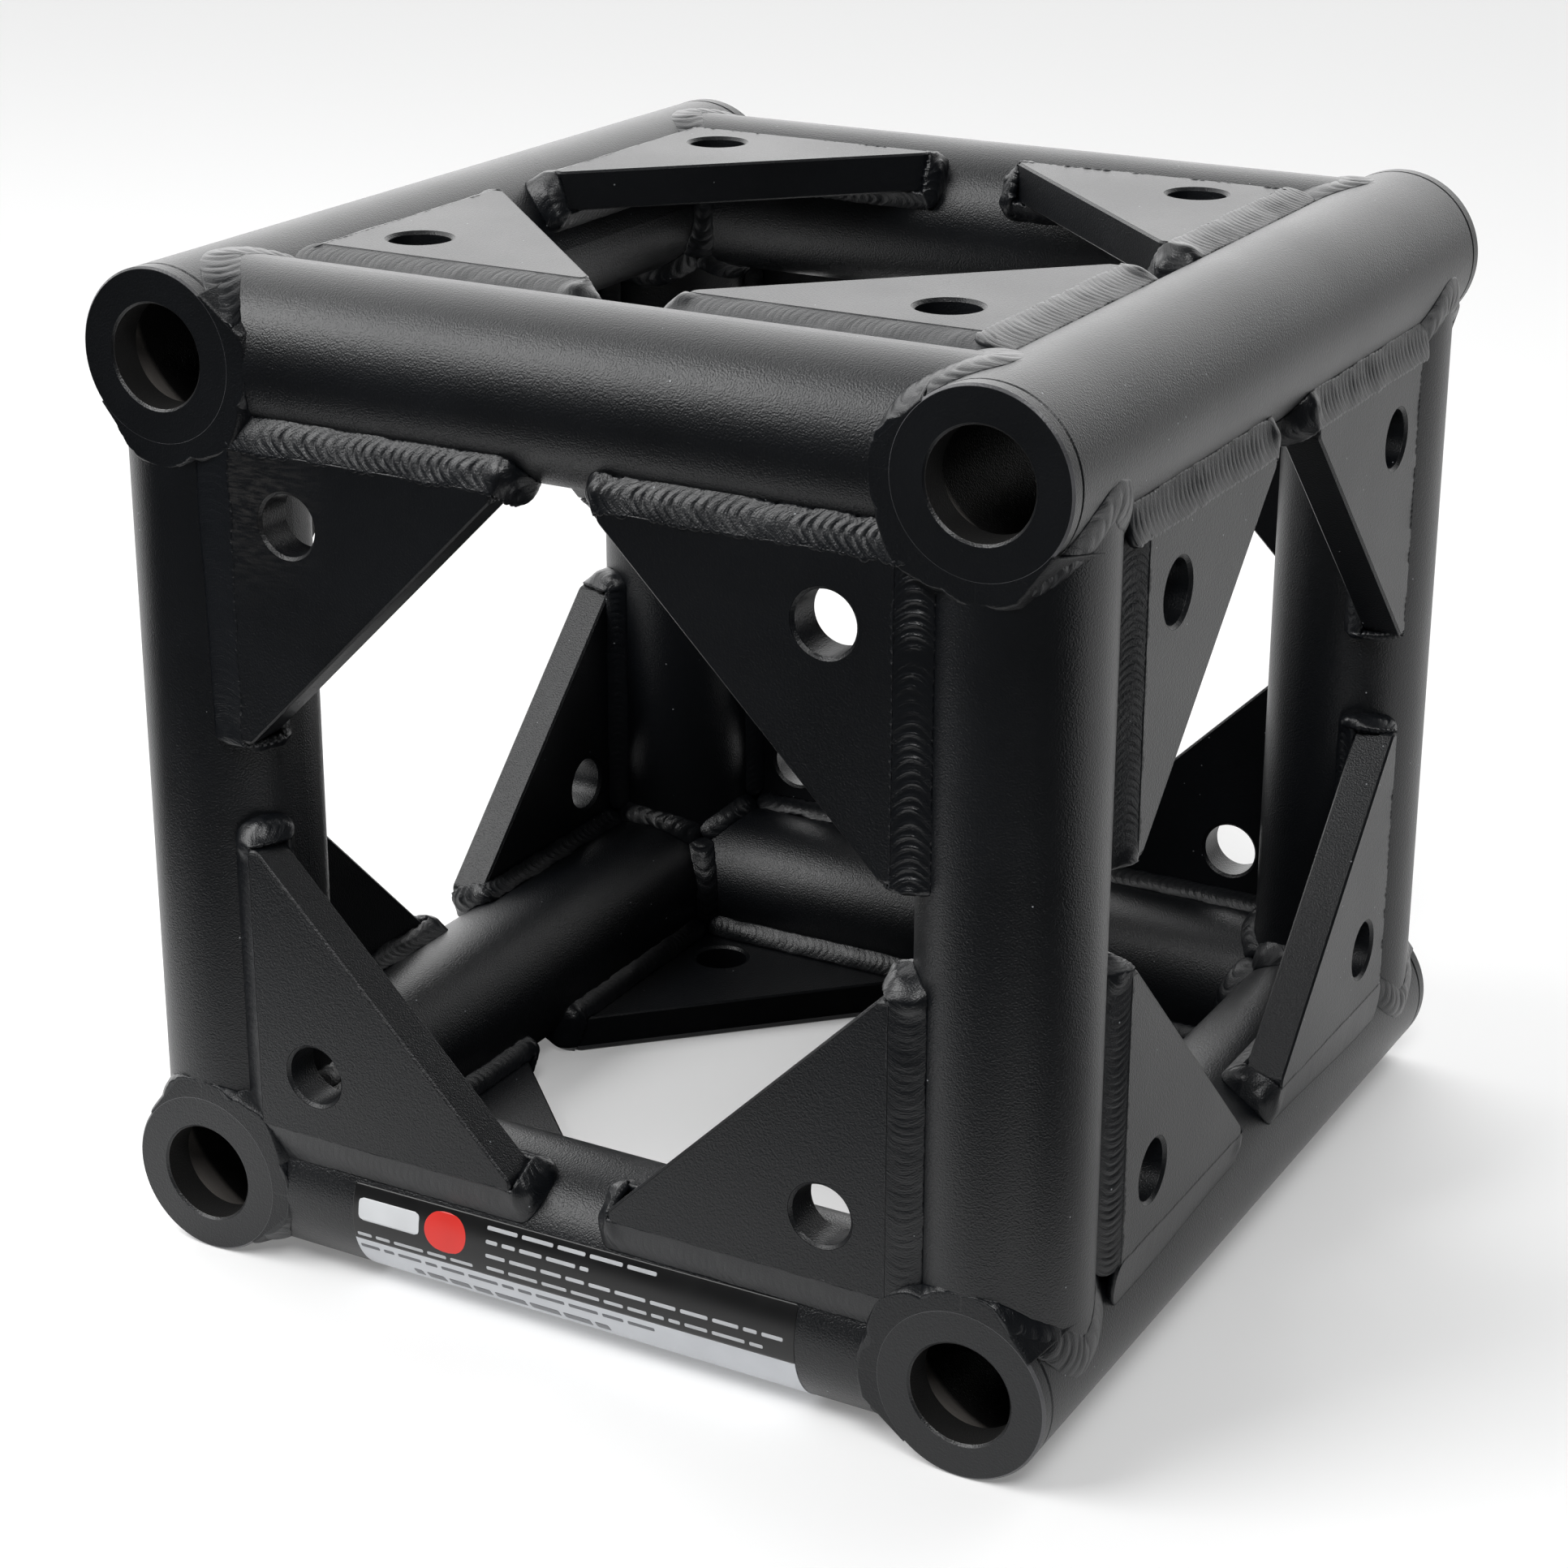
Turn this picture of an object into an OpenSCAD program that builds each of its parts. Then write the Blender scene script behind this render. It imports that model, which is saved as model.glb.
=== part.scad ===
// Corner block of a box truss: a welded cube of round tubes with bolt plates on all six faces.
// Origin at the centre of the underside, +Z up, +Y along the four chords.

/* [Block] */
// Length of each side of the block
block = 304.8; // [270:0.1:420]
// Outer diameter of every tube
tube_d = 50.8; // [46:0.1:54]
// Wall thickness of every tube
tube_wall = 3; // [2:0.5:5]

/* [End bushes] */
// Bore of the bush in each end of a chord
bush_bore_d = 30; // [20:0.5:36]
// Thickness of the flange that closes the end of the tube
flange_len = 5; // [3:0.5:8]
// Length of the spigot inside the tube
spigot_len = 5; // [3:0.5:12]
// Radial gap between the spigot and the tube
spigot_gap = 0.1; // [0.05:0.05:0.3]
// Chamfer around the bore's mouth
bore_chamfer = 0.7; // [0.3:0.1:1.5]
// Chamfer on the flange's rim and on both sides of its seam with the tube
rim_chamfer = 0.6; // [0.2:0.1:1]

/* [Bolt plates] */
// Thickness of the triangular plates
plate_t = 12.5; // [8:0.5:15]
// Distance from the block's outer faces to the flat that ends each leg of a plate
plate_reach = 136; // [110:1:136]
// Length of the flat that ends each leg
tip_flat = 3.6; // [2:0.1:6]
// Gap between a plate's inner edge and the tube, closed by the weld
root_gap = 0.3; // [0.1:0.1:1]
// Diameter of the bolt holes
bolt_hole_d = 18; // [13:0.5:20]
// Distance from the block's outer faces to the centre of each bolt hole
bolt_inset = 68; // [64:0.5:70]
// Chamfer around both ends of a bolt hole
hole_chamfer = 0.9; // [0.3:0.1:1.5]
// Chamfer along a plate's slanted edges
edge_chamfer = 0.6; // [0.2:0.1:1]

/* [Welds] */
// How far the welds between tubes stand off each tube
joint_weld = 4.5; // [3:0.5:6]
// Width of the outer welds, from a plate's edge down the tube
outer_weld = 10; // [7:0.5:12]
// Leg length of the inner welds, between a plate's back and the tube
inner_weld = 6.5; // [4:0.5:8]
// Length of weld that runs on around the tip of each leg
tip_weld = 5; // [3:0.5:8]

/* [Label] */
// Length of the label along the lower front tube
label_len = 149; // [60:1:180]
// Distance of the label's centre from the middle of the tube, towards the right
label_offset = 2; // [-10:1:10]
// Angle of the label's upper edge above the tube's foremost line
label_top_angle = 26; // [10:1:40]
// Angle that the label covers around the tube
label_wrap_angle = 104; // [60:1:115]
// Thickness of the label
label_t = 0.15; // [0.1:0.05:0.3]

/* [Hidden] */
$fn = 96;
half = block / 2;
tube_r = tube_d / 2;
tube_bore_r = tube_r - tube_wall;
bush_bore_r = bush_bore_d / 2;
bush_len = flange_len + spigot_len;
// Depth below an outer face at which a tube's surface is met, measured across the face
function tube_edge(depth) = tube_r + sqrt(pow(tube_r, 2) - pow(tube_r - depth, 2));
plate_inset = tube_edge(plate_t) + root_gap;
leg_start = plate_inset + root_gap; // where a leg's weld starts, just past the plate's corner
corner_zone = tube_d + 2 * joint_weld; // side of the cube that holds one corner's welds
overlap = 1; // how far a cutting shape runs past what it cuts
coat = "#1c1d1f";
bare_label = "#d8dade";

// Sides of the block: name and the sign of the axis
ENDS = [["front", -1], ["back", 1]];
LEVELS = [["lower", -1], ["upper", 1]];
SIDES = [["left", -1], ["right", 1]];

// Faces: name, the turn that brings the front face there, and what the front face's
// lower, upper, left and right then become
FACES = [
    ["front", [0, 0, 0], ["lower", "upper"], ["left", "right"]],
    ["right", [0, 0, 90], ["lower", "upper"], ["front", "back"]],
    ["back", [0, 0, 180], ["lower", "upper"], ["right", "left"]],
    ["left", [0, 0, 270], ["lower", "upper"], ["back", "front"]],
    ["top", [-90, 0, 0], ["front", "back"], ["left", "right"]],
    ["bottom", [90, 0, 0], ["back", "front"], ["left", "right"]],
];

function chord_name(level, side) = str("chord_", level[0], "_", side[0]);
function cross_name(end, level) = str("cross_tube_", end[0], "_", level[0]);
function upright_name(end, side) = str("upright_", end[0], "_", side[0]);
function corner_name(kind, end, level, side) = str(kind, "_", end[0], "_", level[0], "_", side[0]);
function plate_name(face, row, column) = str("plate_", face[0], "_", face[2][row], "_", face[3][column]);
function seam_name(face) = str("plate_welds_", face[0]);

// ---- Placing: every shape below is made for the front, lower, left corner ----

// Moves a shape from the front, lower, left corner to the corner on the given sides
module to_corner(x_side, y_side, z_side) {
    translate([0, 0, half])
        mirror([x_side > 0 ? 1 : 0, 0, 0])
        mirror([0, y_side > 0 ? 1 : 0, 0])
        mirror([0, 0, z_side > 0 ? 1 : 0])
        translate([-half, -half, -half])
        children();
}

// Moves a shape from the front face to another face
module to_face(face) {
    translate([0, 0, half]) rotate(face[1]) translate([0, 0, -half]) children();
}

// Cylinders along each axis, centred on the tubes of the corner at the origin
module along_x(r, from, to) {
    translate([from, tube_r, tube_r]) rotate([0, 90, 0]) cylinder(r = r, h = to - from);
}

module along_y(r, from, to) {
    translate([tube_r, from, tube_r]) rotate([-90, 0, 0]) cylinder(r = r, h = to - from);
}

module along_z(r, from, to) {
    translate([tube_r, tube_r, from]) cylinder(r = r, h = to - from);
}

// ---- Tubes ----

// A chord runs from bush to bush, with a chamfer at each end that shows as the seam
module chord() {
    profile = [
        [tube_bore_r, flange_len],
        [tube_r - rim_chamfer, flange_len],
        [tube_r, flange_len + rim_chamfer],
        [tube_r, block - flange_len - rim_chamfer],
        [tube_r - rim_chamfer, block - flange_len],
        [tube_bore_r, block - flange_len],
    ];
    color(coat)
        translate([tube_r, 0, tube_r]) rotate([-90, 0, 0]) rotate_extrude() polygon(profile);
}

// A cross tube is coped to fit the chords at both ends
module cross_tube() {
    color(coat) difference() {
        along_x(tube_r, tube_r, block - tube_r);
        along_x(tube_bore_r, 0, block);
        along_y(tube_r, -overlap, tube_d + overlap);
        translate([block - tube_d, 0, 0]) along_y(tube_r, -overlap, tube_d + overlap);
    }
}

// An upright is coped to fit both the chord and the cross tube at its ends
module upright() {
    color(coat) difference() {
        along_z(tube_r, tube_r, block - tube_r);
        along_z(tube_bore_r, 0, block);
        for (z = [0, block - tube_d]) translate([0, 0, z]) {
            along_y(tube_r, -overlap, tube_d + overlap);
            along_x(tube_r, tube_r, tube_d + overlap);
        }
    }
}

// ---- End bushes ----

module end_bush() {
    profile = [
        [bush_bore_r + bore_chamfer, 0],
        [tube_r - rim_chamfer, 0],
        [tube_r, rim_chamfer],
        [tube_r, flange_len - rim_chamfer],
        [tube_r - rim_chamfer, flange_len],
        [tube_bore_r - spigot_gap, flange_len],
        [tube_bore_r - spigot_gap, bush_len],
        [bush_bore_r, bush_len],
        [bush_bore_r, bore_chamfer],
    ];
    color(coat)
        translate([tube_r, 0, tube_r]) rotate([-90, 0, 0]) rotate_extrude() polygon(profile);
}

// ---- Bolt plates ----

// Outline of a plate on the front face, with the block's corner at the origin
module plate_outline() {
    polygon([
        [plate_inset, plate_inset],
        [plate_reach, plate_inset],
        [plate_reach, plate_inset + tip_flat],
        [plate_inset + tip_flat, plate_reach],
        [plate_inset, plate_reach],
    ]);
}

// The plate before it is drilled and chamfered
module plate_blank() {
    translate([0, plate_t, 0]) rotate([90, 0, 0]) linear_extrude(plate_t) plate_outline();
}

module bolt_hole() {
    translate([bolt_inset, 0, bolt_inset]) rotate([-90, 0, 0]) {
        translate([0, 0, -overlap]) cylinder(d = bolt_hole_d, h = plate_t + 2 * overlap);
        cylinder(d1 = bolt_hole_d + 2 * hole_chamfer, d2 = bolt_hole_d, h = hole_chamfer);
        translate([0, 0, plate_t - hole_chamfer])
            cylinder(d1 = bolt_hole_d, d2 = bolt_hole_d + 2 * hole_chamfer, h = hole_chamfer);
    }
}

// A square bar turned on edge, which takes the chamfer off a plate's slanted edge
module slant_cutter(depth) {
    middle = (plate_inset + plate_reach + tip_flat) / 2;
    side = sqrt(2) * edge_chamfer;
    translate([middle, depth, middle]) rotate([0, 135, 0]) rotate([0, 0, 45])
        cube([side, side, block], center = true);
}

module plate() {
    color(coat) difference() {
        plate_blank();
        bolt_hole();
        slant_cutter(0);
        slant_cutter(plate_t);
    }
}

// ---- Welds ----

// The room that three tubes' welds take up around the corner: a point belongs to it
// when it is near two of the tubes at once
module near_two_tubes() {
    near = tube_r + joint_weld;
    intersection() {
        along_x(near, tube_r, corner_zone);
        along_y(near, 0, corner_zone);
    }
    intersection() {
        along_z(near, tube_r, corner_zone);
        along_y(near, 0, corner_zone);
    }
    intersection() {
        along_x(near, tube_r, corner_zone);
        along_z(near, tube_r, corner_zone);
    }
}

// Welds where the cross tube, the upright and the chord meet
module joint_weld() {
    color(coat) difference() {
        intersection() {
            near_two_tubes();
            cube(corner_zone);
        }
        along_y(tube_r, -overlap, corner_zone + overlap);
        along_x(tube_r, tube_r, corner_zone + overlap);
        along_z(tube_r, tube_r, corner_zone + overlap);
        plate_blank();
        mirror([1, -1, 0]) plate_blank();
        mirror([0, 1, -1]) plate_blank();
    }
}

// Section of the weld along one leg of a plate: depth below the face, then height above
// the tube's side of the block. The weld wraps the plate's edge from front to back.
module seam_section() {
    toe_height = plate_inset - outer_weld;
    toe_depth = tube_r - sqrt(pow(tube_r, 2) - pow(toe_height - tube_r, 2));
    polygon([
        [0, plate_inset],
        [plate_t, plate_inset],
        [plate_t, plate_inset + inner_weld],
        [plate_t + 0.6 * inner_weld, plate_inset + 0.8 * inner_weld],
        [plate_t + inner_weld + overlap, tube_edge(plate_t + inner_weld) - overlap],
        [toe_depth + overlap, toe_height - overlap],
        [0.15 * toe_depth, plate_inset - outer_weld / 2],
    ]);
}

// Section of the lump of weld that closes the end of a leg
module tip_section() {
    toe_height = plate_inset - outer_weld / 2;
    polygon([
        [plate_t / 12, plate_inset + tip_flat / 2],
        [plate_t, plate_inset + tip_flat],
        [plate_t + inner_weld / 2, plate_inset],
        [plate_t + inner_weld / 2, toe_height],
        [tube_r - sqrt(pow(tube_r, 2) - pow(toe_height - tube_r, 2)) + overlap, toe_height - overlap],
    ]);
}

// Stretches a section along the leg that runs in X
module along_leg(from, to) {
    translate([from, 0, 0]) rotate([90, 0, 90]) linear_extrude(to - from) children();
}

module leg_weld() {
    difference() {
        union() {
            along_leg(leg_start, plate_reach) seam_section();
            along_leg(plate_reach, plate_reach + tip_weld) tip_section();
        }
        along_x(tube_r, 0, block);
        along_y(tube_r + joint_weld, 0, corner_zone);
        along_z(tube_r + joint_weld, 0, corner_zone);
    }
}

// Both legs' welds of one plate
module plate_weld() {
    leg_weld();
    mirror([1, 0, -1]) leg_weld();
}

module face_welds() {
    color(coat) for (x = [-1, 1], z = [-1, 1]) to_corner(x, -1, z) plate_weld();
}

// ---- Label ----

// A thin film around the front of the lower front cross tube
module label() {
    color(bare_label)
        translate([label_offset - label_len / 2, -half + tube_r, tube_r])
        rotate([90, 0, 90]) rotate([0, 0, 180 - label_top_angle])
        rotate_extrude(angle = label_wrap_angle)
        translate([tube_r, 0]) square([label_t, label_len]);
}

// ---- Nodes ----

for (l = LEVELS, s = SIDES)
    to_corner(s[1], -1, l[1]) chord();

for (e = ENDS, l = LEVELS)
    to_corner(-1, e[1], l[1]) cross_tube();

for (e = ENDS, s = SIDES)
    to_corner(s[1], e[1], -1) upright();

for (e = ENDS, l = LEVELS, s = SIDES)
    to_corner(s[1], e[1], l[1]) end_bush();

for (f = FACES, row = [0, 1], column = [0, 1])
    to_face(f) to_corner(2 * column - 1, -1, 2 * row - 1) plate();

for (e = ENDS, l = LEVELS, s = SIDES)
    to_corner(s[1], e[1], l[1]) joint_weld();

for (f = FACES)
    to_face(f) face_welds();

label();
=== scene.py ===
import math

import bpy
import numpy as np
from mathutils import Matrix, Vector
from mathutils.geometry import tessellate_polygon


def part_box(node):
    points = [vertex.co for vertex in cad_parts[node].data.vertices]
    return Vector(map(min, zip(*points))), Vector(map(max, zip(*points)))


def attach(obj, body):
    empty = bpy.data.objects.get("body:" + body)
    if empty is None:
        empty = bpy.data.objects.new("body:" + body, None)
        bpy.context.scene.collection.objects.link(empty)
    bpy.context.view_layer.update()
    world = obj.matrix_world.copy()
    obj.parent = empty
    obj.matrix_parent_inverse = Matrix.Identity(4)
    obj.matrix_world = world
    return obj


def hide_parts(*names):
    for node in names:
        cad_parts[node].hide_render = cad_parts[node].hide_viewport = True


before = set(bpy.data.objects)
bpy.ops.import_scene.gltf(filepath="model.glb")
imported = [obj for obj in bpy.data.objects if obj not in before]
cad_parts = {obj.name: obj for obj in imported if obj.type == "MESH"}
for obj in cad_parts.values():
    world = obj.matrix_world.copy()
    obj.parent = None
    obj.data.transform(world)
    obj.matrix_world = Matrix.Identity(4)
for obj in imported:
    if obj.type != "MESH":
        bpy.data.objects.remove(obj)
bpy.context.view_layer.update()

MM = 0.001

# ---- Sizes, read from the frame, in millimetres from the block's corner ----


def box_mm(node):
    low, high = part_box(node)
    return np.array(low) / MM, np.array(high) / MM


low, high = box_mm("chord_lower_left")
TUBE_R = (high[0] - low[0]) / 2
HALF = -low[0]
low, high = box_mm("plate_front_lower_left")
PLATE_T = high[1] - low[1]
INSET = low[2]
REACH = high[2]
# The rest of the plate, as in the part's source
TIP_FLAT = 3.6
BOLT_INSET = 68.0
HOLE_R = 9.0
HOLE_CHAMFER = 0.9
EDGE_CHAMFER = 0.6
# Points around a bolt hole
HOLE_POINTS = 64

ENDS = (("front", -1), ("back", 1))
LEVELS = (("lower", -1), ("upper", 1))
SIDES = (("left", -1), ("right", 1))
# Faces: the turn that brings the front face there, and what its rows and columns are then called
FACES = {
    "front": ((0, 0, 0), ("lower", "upper"), ("left", "right")),
    "right": ((0, 0, 90), ("lower", "upper"), ("front", "back")),
    "back": ((0, 0, 180), ("lower", "upper"), ("right", "left")),
    "left": ((0, 0, 270), ("lower", "upper"), ("back", "front")),
    "top": ((-90, 0, 0), ("front", "back"), ("left", "right")),
    "bottom": ((90, 0, 0), ("back", "front"), ("left", "right")),
}


def tube_edge(depth):
    """How high a tube's surface reaches at that depth below the face."""
    return TUBE_R + np.sqrt(TUBE_R**2 - (TUBE_R - depth) ** 2)


def tube_depth(height):
    """How deep below the face a tube's surface is at that height."""
    return TUBE_R - np.sqrt(TUBE_R**2 - (height - TUBE_R) ** 2)


# ---- Materials ----


class Graph:
    """A material's node tree, with short calls for the nodes used here."""

    def __init__(self, name):
        self.material = bpy.data.materials.new(name)
        self.material.use_nodes = True
        self.nodes, self.links = self.material.node_tree.nodes, self.material.node_tree.links
        self.shader = self.nodes["Principled BSDF"]

    def feed(self, socket, value):
        if isinstance(value, (int, float)):
            socket.default_value = value
        elif isinstance(value, tuple):
            socket.default_value = (*value, 1)[: len(socket.default_value)]
        else:
            self.links.new(value, socket)

    def coords(self):
        return self.nodes.new("ShaderNodeTexCoord").outputs["Object"]

    def stretch(self, vector, scale):
        node = self.nodes.new("ShaderNodeMapping")
        node.inputs["Scale"].default_value = scale
        self.links.new(vector, node.inputs["Vector"])
        return node.outputs["Vector"]

    def noise(self, vector, scale, detail=2.0, roughness=0.5):
        node = self.nodes.new("ShaderNodeTexNoise")
        node.inputs["Scale"].default_value = scale
        node.inputs["Detail"].default_value = detail
        node.inputs["Roughness"].default_value = roughness
        self.links.new(vector, node.inputs["Vector"])
        return node.outputs["Fac"]

    def ramp(self, value, stops):
        node = self.nodes.new("ShaderNodeValToRGB")
        for element, (place, colour) in zip(node.color_ramp.elements, stops):
            element.position = place
            element.color = (*colour, 1) if isinstance(colour, tuple) else (colour,) * 3 + (1,)
        self.links.new(value, node.inputs["Fac"])
        return node.outputs["Color"]

    def math(self, operation, a, b=0.0):
        node = self.nodes.new("ShaderNodeMath")
        node.operation = operation
        self.feed(node.inputs[0], a)
        self.feed(node.inputs[1], b)
        return node.outputs["Value"]

    def mix(self, factor, a, b):
        node = self.nodes.new("ShaderNodeMix")
        node.data_type = "RGBA"
        self.feed(node.inputs["Factor"], factor)
        self.feed(node.inputs[6], a)
        self.feed(node.inputs[7], b)
        return node.outputs[2]

    def bump(self, height, strength, distance, under=None):
        node = self.nodes.new("ShaderNodeBump")
        node.inputs["Strength"].default_value = strength
        node.inputs["Distance"].default_value = distance
        self.links.new(height, node.inputs["Height"])
        if under is not None:
            self.links.new(under, node.inputs["Normal"])
        return node.outputs["Normal"]

    def finish(self, base, rough, normal, specular=0.5, metallic=0.0):
        self.feed(self.shader.inputs["Base Color"], base)
        self.feed(self.shader.inputs["Roughness"], rough)
        self.links.new(normal, self.shader.inputs["Normal"])
        self.shader.inputs["Specular IOR Level"].default_value = specular
        self.shader.inputs["Metallic"].default_value = metallic
        return self.material


def around(value, share):
    """Two ramp stops, a share below and a share above a value or a colour."""
    if isinstance(value, tuple):
        darker = tuple(c * (1 - share) for c in value)
        lighter = tuple(min(c * (1 + share), 1) for c in value)
        return [(0.3, darker), (0.7, lighter)]
    return [(0.3, value * (1 - share)), (0.7, value * (1 + share))]


# Colours of the powder coat, of what lies on it and of the inside of a tube, with painted light: a patch of
# light inside a tube's opening and a highlight on a bush's worn rim
COAT_TINT = (0.72, 0.97, 1.42)
DUST = (0.2, 0.21, 0.22)
SCUFFED = (0.05, 0.046, 0.042)
WORN_RIM_AND_HIGHLIGHT = (0.075, 0.075, 0.08)
INSIDE_TUBE = (0.014, 0.0138, 0.0136)
PAINTED_LIGHT_INSIDE = (0.2, 0.185, 0.172)


def from_chord(g, place):
    """The offsets in x and z from the nearest chord's axis, from a separated position."""
    axis = (HALF - TUBE_R) * MM
    offsets = []
    for value in (place.outputs["X"], g.math("SUBTRACT", place.outputs["Z"], HALF * MM)):
        beyond = g.math("SUBTRACT", g.math("ABSOLUTE", value), axis)
        offsets.append(g.math("MULTIPLY", beyond, g.math("SIGN", value)))
    return offsets


def powder_coat(name, shade, gloss, peel, specular=0.5, scuff=0.0, streaks=0.0, rim=False, hollow=False):
    """Black powder coat: orange peel, faint clouding and specks of dust. Added where asked: scuffs near
    the plate's corner, the streaks of a weld along its ripples, a bush's rim lightened as wear and as a
    painted highlight, its darker bore, and the inside of a tube, with a painted patch of light at the lower
    left of its opening."""
    g = Graph(name)
    coords = g.coords()
    cloud = g.noise(coords, 22, 3)
    base = g.ramp(cloud, around(tuple(c * shade for c in COAT_TINT), 0.22))
    cells = g.nodes.new("ShaderNodeTexVoronoi")
    cells.inputs["Scale"].default_value = 170
    g.links.new(coords, cells.inputs["Vector"])
    speck = g.math("LESS_THAN", cells.outputs["Distance"], 0.045)
    speck = g.math("MULTIPLY", speck, g.math("GREATER_THAN", cells.outputs["Color"], 0.55))
    base = g.mix(speck, base, DUST)
    rough = g.ramp(cloud, around(gloss, 0.06))
    if scuff:
        streak = g.noise(g.stretch(coords, (0.2, 1, 1)), 900, 4, 0.65)
        from_corner = g.nodes.new("ShaderNodeVectorMath")
        from_corner.operation = "DISTANCE"
        g.links.new(coords, from_corner.inputs[0])
        from_corner.inputs[1].default_value = np.array((INSET + 3 - HALF, -HALF, 2 * HALF - INSET - 12)) * MM
        patch = g.ramp(from_corner.outputs["Value"], [(0.006, 1.0), (0.034, 0.0)])
        lightened = g.math("MULTIPLY", g.ramp(streak, [(0.42, 0.0), (0.7, 1.0)]), patch)
        base = g.mix(g.math("MULTIPLY", lightened, scuff), base, SCUFFED)
    if rim or hollow:
        place = g.nodes.new("ShaderNodeSeparateXYZ")
        g.links.new(coords, place.inputs["Vector"])
        across, up = from_chord(g, place)
        squares = [g.math("MULTIPLY", offset, offset) for offset in (across, up)]
        radius = g.math("SQRT", g.math("ADD", *squares))
    if rim:
        # Painted highlight and wear: an uneven lighter line around the bush's outer rim at the chord's end,
        # which stands in for the rim's highlight as well as its wear
        at_end = g.math("GREATER_THAN", g.math("ABSOLUTE", place.outputs["Y"]), (HALF - 0.75) * MM)
        at_rim = g.math("GREATER_THAN", radius, (TUBE_R - 0.7) * MM)
        on_rim = g.math("MULTIPLY", at_end, at_rim)
        lightened = g.math("MULTIPLY", on_rim, g.ramp(cloud, [(0.4, 0.2), (0.6, 1.0)]))
        base = g.mix(lightened, base, WORN_RIM_AND_HIGHLIGHT)
        base = g.mix(g.math("LESS_THAN", radius, (TUBE_R - 10.2) * MM), base, INSIDE_TUBE)
    if hollow:
        # Painted light: the inner wall is lighter at the lower left of each opening, near the tube's end, as
        # a painted patch of light falling into the tube; deeper in it keeps the plain inside colour
        depth = g.math("SUBTRACT", HALF * MM, g.math("ABSOLUTE", place.outputs["Y"]))
        lower_left = g.math("MULTIPLY", g.math("ADD", across, up), -0.36)
        past = g.math("SUBTRACT", g.math("ADD", lower_left, 0.0135), depth)
        painted_light = g.ramp(g.math("MULTIPLY", past, 500.0), [(0.0, 0.0), (1.0, 1.0)])
        inside = g.mix(painted_light, INSIDE_TUBE, PAINTED_LIGHT_INSIDE)
        base = g.mix(g.math("LESS_THAN", radius, (TUBE_R - 1.5) * MM), base, inside)
    grain = g.noise(coords, 1900, 1, 0.5)
    normal = g.bump(grain, 1.0, peel * MM)
    if streaks:
        flow = g.nodes.new("ShaderNodeAttribute")
        flow.attribute_name = "flow"
        lines = g.noise(g.stretch(flow.outputs["Vector"], (6, 1.6, 1)), 1.0, 2, 0.6)
        normal = g.bump(lines, 1.0, streaks * MM, normal)
    return g.finish(base, rough, normal, specular)


def printed(name, colour, gloss, metallic=0.0):
    """Printed vinyl: one ink with faint mottling and a soft sheen."""
    g = Graph(name)
    coords = g.coords()
    cloud = g.noise(coords, 60, 2)
    normal = g.bump(g.noise(coords, 900, 1), 0.08, 0.05 * MM)
    base = g.ramp(cloud, around(colour, 0.07))
    rough = g.ramp(cloud, around(gloss, 0.08))
    return g.finish(base, rough, normal, 0.5, metallic)


SHADE = 0.0027
tube_coat = powder_coat("coat_tube", SHADE, 0.37, 0.15)
chord_coat = powder_coat("coat_chord", SHADE, 0.37, 0.15, hollow=True)
bush_coat = powder_coat("coat_bush", SHADE, 0.37, 0.12, rim=True)
plate_coat = powder_coat("coat_plate", SHADE, 0.39, 0.14, specular=0.41)
worn_coat = powder_coat("coat_plate_worn", SHADE, 0.39, 0.14, specular=0.41, scuff=0.4)
weld_coat = powder_coat("coat_weld", SHADE * 1.2, 0.34, 0.08, streaks=0.12)
field_ink = printed("label_field", (0.002, 0.0021, 0.0024), 0.34)
band_ink = printed("label_band", (0.52, 0.535, 0.56), 0.4, 0.3)
white_ink = printed("label_white", (0.6, 0.615, 0.63), 0.4)
print_ink = printed("label_print", (0.42, 0.43, 0.445), 0.4)
red_ink = printed("label_red", (0.64, 0.022, 0.014), 0.4)
grey_ink = printed("label_grey", (0.1, 0.105, 0.115), 0.4)

# ---- Building meshes ----


def add_piece(name, points, faces, material, replaced=(), flow=None):
    """One closed piece of the object, from points in metres in the row frame. A weld's flow is stored
    with its points, for its material."""
    mesh = bpy.data.meshes.new(name)
    mesh.from_pydata(points.tolist(), [], faces)
    mesh.calc_loop_triangles()
    corners = np.empty(len(mesh.loop_triangles) * 3, np.int32)
    mesh.loop_triangles.foreach_get("vertices", corners)
    a, b, c = points[corners.reshape(-1, 3)].transpose(1, 0, 2)
    if (a * np.cross(b, c)).sum() < 0:
        mesh.flip_normals()
    mesh.polygons.foreach_set("use_smooth", np.ones(len(mesh.polygons), bool))
    mesh.materials.append(material)
    if flow is not None:
        stored = mesh.attributes.new("flow", "FLOAT_VECTOR", "POINT")
        stored.data.foreach_set("vector", np.ascontiguousarray(flow, np.float32).ravel())
    mesh.update()
    piece = bpy.data.objects.new(name, mesh)
    bpy.context.scene.collection.objects.link(piece)
    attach(piece, "root")
    if replaced:
        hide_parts(*replaced)
    return piece


def turn(angles):
    """The rotation by angles about x and then about z, in degrees."""
    about_x = Matrix.Rotation(math.radians(angles[0]), 3, "X")
    about_z = Matrix.Rotation(math.radians(angles[2]), 3, "Z")
    return np.array([list(row) for row in about_z @ about_x])


def place_on_face(points, face, row, column):
    """Moves points from the front, lower, left corner's own frame to a corner of a face."""
    centred = points - HALF
    if column:
        centred[:, 0] *= -1
    if row:
        centred[:, 2] *= -1
    return (centred @ turn(FACES[face][0]).T + (0, 0, HALF)) * MM


def place_at_corner(points, end, level, side):
    """Moves points from the front, lower, left corner's own frame to another corner of the block."""
    return (points - HALF) * (-side, -end, -level) * MM + np.array((0, 0, HALF * MM))


# ---- Bolt plates ----


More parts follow.
